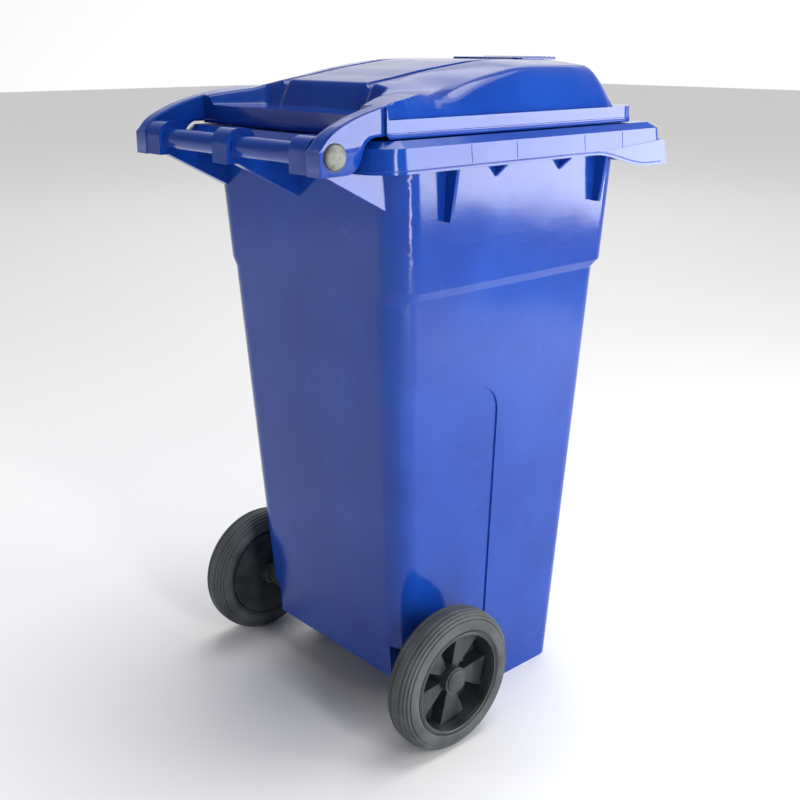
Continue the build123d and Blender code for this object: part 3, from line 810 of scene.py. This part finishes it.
def makeWheels():
    look = wheelLook
    for sideSign, name in ((-1, "left"), (1, "right")):
        low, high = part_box(f"tyre_{name}")
        centre = (low + high) / 2
        body = f"wheel_{name}"
        tyre = turned(f"tyre_{name}_rubber", tyreOutline(), centre, 128)
        pick(tyre)
        bpy.ops.object.shade_smooth_by_angle(angle=radians(50))
        finish(tyre, tyreRubber, body, [f"tyre_{name}"])
        rim = copyOfNode(f"wheel_rim_{name}", f"rim_{name}")
        softenEdges(rim, look["rimSoftEdge"])
        finish(rim, wheelPlastic, body, [f"wheel_rim_{name}"])
        outer = look["width"] / 2 - look["edgeInset"]
        edgeOutline = [
            (sideSign * (outer + out), look["edgeRadius"] + up) for out, up in look["rimEdge"]
        ]
        edge = turned(f"rimEdge_{name}", edgeOutline, centre, 128)
        pick(edge)
        bpy.ops.object.shade_smooth_by_angle(angle=radians(50))
        finish(edge, wheelPlastic, body)
        cap = copyOfNode(f"hub_cap_{name}", f"cap_{name}")
        softenEdges(cap, look["capSoftEdge"])
        finish(cap, wheelPlastic, body, [f"hub_cap_{name}"])
        makeCoil(name)


makeWheels()
print("wheels done")

keptLooks = {
    "axle": zincSteel,
    "latch_left": zincSteel,
    "latch_right": zincSteel,
    "axle_washer_left": zincSteel,
    "axle_washer_right": zincSteel,
    "axle_sleeve_left": wheelPlastic,
    "axle_sleeve_right": wheelPlastic,
}
for nodeName, material in keptLooks.items():
    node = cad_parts[nodeName]
    node.data.materials.clear()
    node.data.materials.append(material)
    pick(node)
    bpy.ops.object.shade_smooth_by_angle(angle=radians(35))

stageLook = {
    "floor": (0.86, 0.86, 0.87),
    "camera": (-1.1417, 1.0372, 0.9273),
    "forward": (0.7154, -0.6375, -0.2862),
    "lens": 49.14,
    "shift": (0.0071, -0.0398),
    "brightWay": (0.62, -0.75, -0.4),  # the direction in which the room is brightest
    "dimmest": 0.16,
}


def makeStage():
    clearSelection()
    bpy.ops.mesh.primitive_plane_add(size=40, location=(0, 0, 0))
    floor = bpy.context.object
    floor.name = "floor"
    floor.data.materials.append(newMaterial("paleFloor", stageLook["floor"], 0.9))


def addLight(name, place, target, size, power, sizeY):
    clearSelection()
    bpy.ops.object.light_add(type="AREA", location=place)
    light = bpy.context.object
    light.name = name
    light.data.shape = "RECTANGLE"
    light.data.size = size
    light.data.size_y = sizeY
    light.data.energy = power
    light.visible_camera = False
    light.rotation_euler = (Vector(target) - Vector(place)).to_track_quat("-Z", "Y").to_euler()


def makeLights():
    bpy.context.scene.view_settings.view_transform = "Standard"
    world = bpy.data.worlds.new("softRoom")
    bpy.context.scene.world = world
    world.use_nodes = True
    tree = world.node_tree
    background = tree.nodes["Background"]
    background.inputs["Strength"].default_value = 1.0
    # the room is bright in front of the bin and dim behind it
    place = tree.nodes.new("ShaderNodeTexCoord")
    towards = tree.nodes.new("ShaderNodeVectorMath")
    towards.operation = "DOT_PRODUCT"
    towards.inputs[1].default_value = stageLook["brightWay"]
    level = tree.nodes.new("ShaderNodeMapRange")
    level.inputs["From Min"].default_value = 0.1
    level.inputs["From Max"].default_value = 0.9
    level.inputs["To Min"].default_value = stageLook["dimmest"]
    level.inputs["To Max"].default_value = 1.0
    tree.links.new(place.outputs["Generated"], towards.inputs[0])
    tree.links.new(towards.outputs["Value"], level.inputs["Value"])
    tree.links.new(level.outputs["Result"], background.inputs["Color"])
    addLight("sidePanel", (-1.6, -1.45, 0.66), (0, -0.1, 0.72), 1.3, 30, 0.7)
    addLight("topSoftbox", (-0.4, -0.6, 3.2), (0, 0, 0.6), 2.2, 30, 2.0)
    addLight("backdropLight", (2.8, -3.0, 3.4), (2.8, -3.0, 0), 3.0, 30, 3.0)
    clearSelection()
    bpy.ops.object.light_add(type="SUN", location=(2.5, -3, 4))
    farLight = bpy.context.object
    farLight.name = "farLight"
    farLight.data.energy = 1.4
    farLight.data.angle = radians(45)
    farLight.rotation_euler = Vector((-0.05, 0.25, -1)).to_track_quat("-Z", "Y").to_euler()
    addLight("cornerStrip", (-2.1, 0.35, 0.9), (0, 0.15, 0.6), 0.3, 24, 1.8)
    addLight("rearStrip", (1.9, 2.2, 1.0), (0, 0, 0.5), 0.35, 9, 1.4)


def makeCamera():
    clearSelection()
    bpy.ops.object.camera_add(location=stageLook["camera"])
    camera = bpy.context.object
    camera.rotation_euler = Vector(stageLook["forward"]).to_track_quat("-Z", "Y").to_euler()
    camera.data.lens = stageLook["lens"]
    camera.data.sensor_width = 36
    camera.data.shift_x, camera.data.shift_y = stageLook["shift"]
    bpy.context.scene.camera = camera


makeStage()
makeLights()
makeCamera()
print("stage done")
